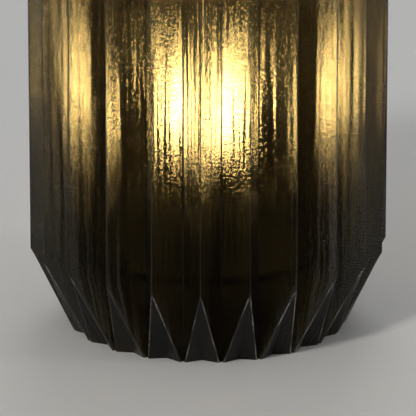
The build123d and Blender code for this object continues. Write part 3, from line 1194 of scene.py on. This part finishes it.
@dataclass
class Lampholder:
    """The screw lampholder: a plastic cap and shell, a porcelain core and metal contacts."""

    pitch: float = THREAD_PITCH
    thread_depth: float = 0.45 * MILLIMETRE
    wall: float = 0.4 * MILLIMETRE
    rows: int = 96
    sides: int = 96
    plastic: Moulding = Moulding("holder_plastic", (0.018, 0.018, 0.018), 0.36)
    porcelain: Moulding = Moulding("porcelain", (0.85, 0.84, 0.8), 0.18, coat=0.6)
    zinc: Metal = Metal("holder_zinc", (0.62, 0.62, 0.6), 0.32)
    brass: Metal = Metal("brass", (0.75, 0.58, 0.28), 0.25)

    def threaded_shell(self, brass: Material) -> Object:
        """The thin metal shell that the bulb screws into, rolled into a rounded thread.

        Both faces follow the same thread, one wall apart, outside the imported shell's bore.

        Args:
            brass: its material.

        Returns:
            The shell's object.
        """
        low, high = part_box("screw_shell")
        height = np.linspace(low[2], high[2], self.rows)
        root = thread(height, self.sides, self.pitch, self.pitch)
        inner = bore_radius("screw_shell") + self.thread_depth * root
        radius = np.concatenate([inner + self.wall, inner[::-1]])
        height = np.concatenate([height, height[::-1]])
        made = turned("threaded_shell", radius, height, self.sides, THREAD_CREASE)
        return settle(made, "screw_shell", Body.BASE, brass)

    def build(self) -> list[Object]:
        """Make the threaded shell and dress the lampholder.

        Returns:
            The new pieces.
        """
        brass = self.brass.material()
        dress(["holder_cap", "holder_shell"], self.plastic.material())
        dress(["holder_core"], self.porcelain.material())
        dress(["holder_grub_screw", "terminal_screws"], self.zinc.material())
        dress(["contact_leaf"], brass)
        return [self.threaded_shell(brass)]


@dataclass
class Bulb:
    """The bulb: threaded metal cap, white housing and glowing frosted dome."""

    pitch: float = THREAD_PITCH
    thread_depth: float = 0.6 * MILLIMETRE
    collar: float = 4.0 * MILLIMETRE
    core_radius: float = 1.0 * MILLIMETRE
    rows: int = 88
    sides: int = 96
    metal: Metal = Metal("bulb_metal", (0.78, 0.78, 0.77), 0.28)
    insulator: Moulding = Moulding("insulator", (0.03, 0.022, 0.04), 0.12, coat=0.5)
    housing: Moulding = Moulding("bulb_housing", (0.84, 0.83, 0.8), 0.4)
    board: Moulding = Moulding("light_board", (0.85, 0.86, 0.83), 0.3, coat=0.3)
    chips: Moulding = Moulding("phosphor", (0.9, 0.72, 0.2), 0.5)
    dome: Glow = Glow("frosted_dome", (1.0, 0.86, 0.66), 1700.0)

    def threaded_cap(self, metal: Material) -> Object:
        """The screw cap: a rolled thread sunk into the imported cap, under a plain collar.

        The thread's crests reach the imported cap's radius and its roots lie one depth
        inside. The ends close on a small ring round the axis.

        Args:
            metal: its material.

        Returns:
            The cap's object.
        """
        low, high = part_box("bulb_cap")
        height = np.linspace(low[2], high[2], self.rows)
        threaded = height[height <= high[2] - self.collar]
        root = np.zeros((self.rows, self.sides))
        root[: len(threaded)] = thread(threaded, self.sides, self.pitch, self.pitch)
        side = high[0] - self.thread_depth * root
        ends = np.full((1, self.sides), self.core_radius)
        radius = np.concatenate([ends, side, ends])
        height = np.concatenate([height[:1], height, height[-1:]])
        made = turned("threaded_cap", radius, height, self.sides, THREAD_CREASE)
        return settle(made, "bulb_cap", Body.BULB_CAP, metal)

    def build(self) -> list[Object]:
        """Make the threaded cap and dress the bulb.

        Returns:
            The new pieces.
        """
        metal = self.metal.material()
        dress(["bulb_tip"], metal)
        dress(["bulb_insulator"], self.insulator.material())
        dress(["bulb_housing"], self.housing.material())
        dress(["led_board"], self.board.material())
        dress(["led_chips"], self.chips.material())
        low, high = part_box("bulb_dome")
        dress(["bulb_dome"], self.dome.material(low[2], high[2]))
        return [self.threaded_cap(metal)]


@dataclass(frozen=True)
class SoftLamp:
    """A square area lamp that faces a point on the lamp's axis.

    Sizes and places are in metres, and the power is in watts.
    """

    name: str
    place: Vector
    size: float
    power: float
    colour: Colour

    def build(self, target: Array) -> None:
        """Add the lamp to the scene.

        Args:
            target: the point that it faces.
        """
        data = bpy.data.lights.new(self.name, "AREA")
        data.size = self.size
        data.energy = self.power
        data.color = self.colour
        lamp = bpy.data.objects.new(self.name, data)
        direction = unit(np.array(self.place) - target)
        heading = math.atan2(direction[1], direction[0]) + math.pi / 2
        lamp.location = self.place
        lamp.rotation_euler = (math.acos(direction[2]), 0.0, heading)
        bpy.context.scene.collection.objects.link(lamp)


@dataclass(frozen=True)
class Studio:
    """Pale floor, soft lamps and a camera at the photograph's angle."""

    lamp_width_pixels: float = 358.6
    frame_pixels: float = 416.0
    axis_pixel: tuple[float, float] = (207.4, 316.5)
    focal_pixels: float = 5450.0
    pitch_degrees: float = 18.3
    azimuth_degrees: float = -5.73
    sensor: float = 36.0
    camera_reach: float = 100.0
    floor_half_width: float = 6.0
    floor_colour: Colour = (0.9, 0.89, 0.87)
    floor_roughness: float = 0.7
    shown_world: Colour = (0.92, 0.92, 0.91)
    lighting_world: Colour = (0.22, 0.225, 0.23)
    target_height: float = 0.15
    lamps: tuple[SoftLamp, ...] = (
        SoftLamp("key", (-1.3, -1.9, 2.2), 0.4, 24.0, (1.0, 0.98, 0.95)),
        SoftLamp("fill", (2.2, -0.9, 0.9), 0.3, 6.0, (0.95, 0.97, 1.0)),
        SoftLamp("back", (0.4, 2.2, 1.9), 1.4, 12.0, (1.0, 1.0, 1.0)),
    )

    def camera(self) -> None:
        """Set the camera so that the lamp's foot and width fall on the photograph's pixels."""
        _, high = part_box("rear_sheet")
        scale = self.lamp_width_pixels / (2 * high[1])
        distance = self.focal_pixels / scale
        pitch, azimuth = math.radians(self.pitch_degrees), math.radians(self.azimuth_degrees)
        centre = self.frame_pixels / 2
        aim_height = (self.axis_pixel[1] - centre) / scale / math.cos(pitch)
        aim_right = (centre - self.axis_pixel[0]) / scale
        right = np.array([math.cos(azimuth), math.sin(azimuth), 0.0])
        back = np.array([math.sin(azimuth), -math.cos(azimuth), 0.0])
        up = np.array([0.0, 0.0, 1.0])
        data = bpy.data.cameras.new("camera")
        data.sensor_width = self.sensor
        data.lens = self.focal_pixels / self.frame_pixels * self.sensor
        data.clip_end = self.camera_reach
        camera = bpy.data.objects.new("camera", data)
        aim = right * aim_right + up * aim_height
        camera.location = aim + distance * (back * math.cos(pitch) + up * math.sin(pitch))
        camera.rotation_euler = (math.pi / 2 - pitch, 0.0, azimuth)
        bpy.context.scene.collection.objects.link(camera)
        bpy.context.scene.camera = camera

    def world(self) -> None:
        """Set a world that looks pale to the camera and lights the scene softly."""
        world = bpy.data.worlds.new("studio")
        world.use_nodes = True
        tree = world.node_tree
        tree.nodes.clear()
        output = tree.nodes.new("ShaderNodeOutputWorld")
        path = tree.nodes.new("ShaderNodeLightPath")
        mix = tree.nodes.new("ShaderNodeMixShader")
        tree.links.new(path.outputs["Is Camera Ray"], mix.inputs[0])
        for place, colour in enumerate((self.lighting_world, self.shown_world), start=1):
            background = tree.nodes.new("ShaderNodeBackground")
            background.inputs[0].default_value = (*colour, 1.0)
            tree.links.new(background.outputs[0], mix.inputs[place])
        tree.links.new(mix.outputs[0], output.inputs[0])
        bpy.context.scene.world = world

    def floor(self) -> None:
        """Add the pale floor."""
        signs = np.array([[-1, -1, 0], [1, -1, 0], [1, 1, 0], [-1, 1, 0]], dtype=float)
        made = mesh_object("floor", signs * self.floor_half_width, [np.array([[0, 1, 2, 3]])])
        finish = Nodes("floor").finish(Base_Color=self.floor_colour, Roughness=self.floor_roughness)
        made.data.materials.append(finish)

    def build(self) -> None:
        """Set up the view transform, floor, lights and camera."""
        bpy.context.scene.view_settings.view_transform = "Standard"
        self.floor()
        for lamp in self.lamps:
            lamp.build(np.array([0.0, 0.0, self.target_height]))
        self.world()
        self.camera()


def main() -> None:
    """Build the lamp, piece by piece, then the studio."""
    logging.basicConfig(level=logging.INFO, format="%(message)s")
    for part in (LampBase(), Lampholder(), Bulb(), PleatedShade()):
        for piece in part.build():
            points = np.array([corner[:] for corner in piece.bound_box])
            log.info(
                "%s of %s: %d faces, %.1f x %.1f x %.1f mm", piece.name, type(part).__name__,
                len(piece.data.polygons), *(np.ptp(points, axis=0) / MILLIMETRE),
            )
    Studio().build()


if __name__ == "__main__":
    main()
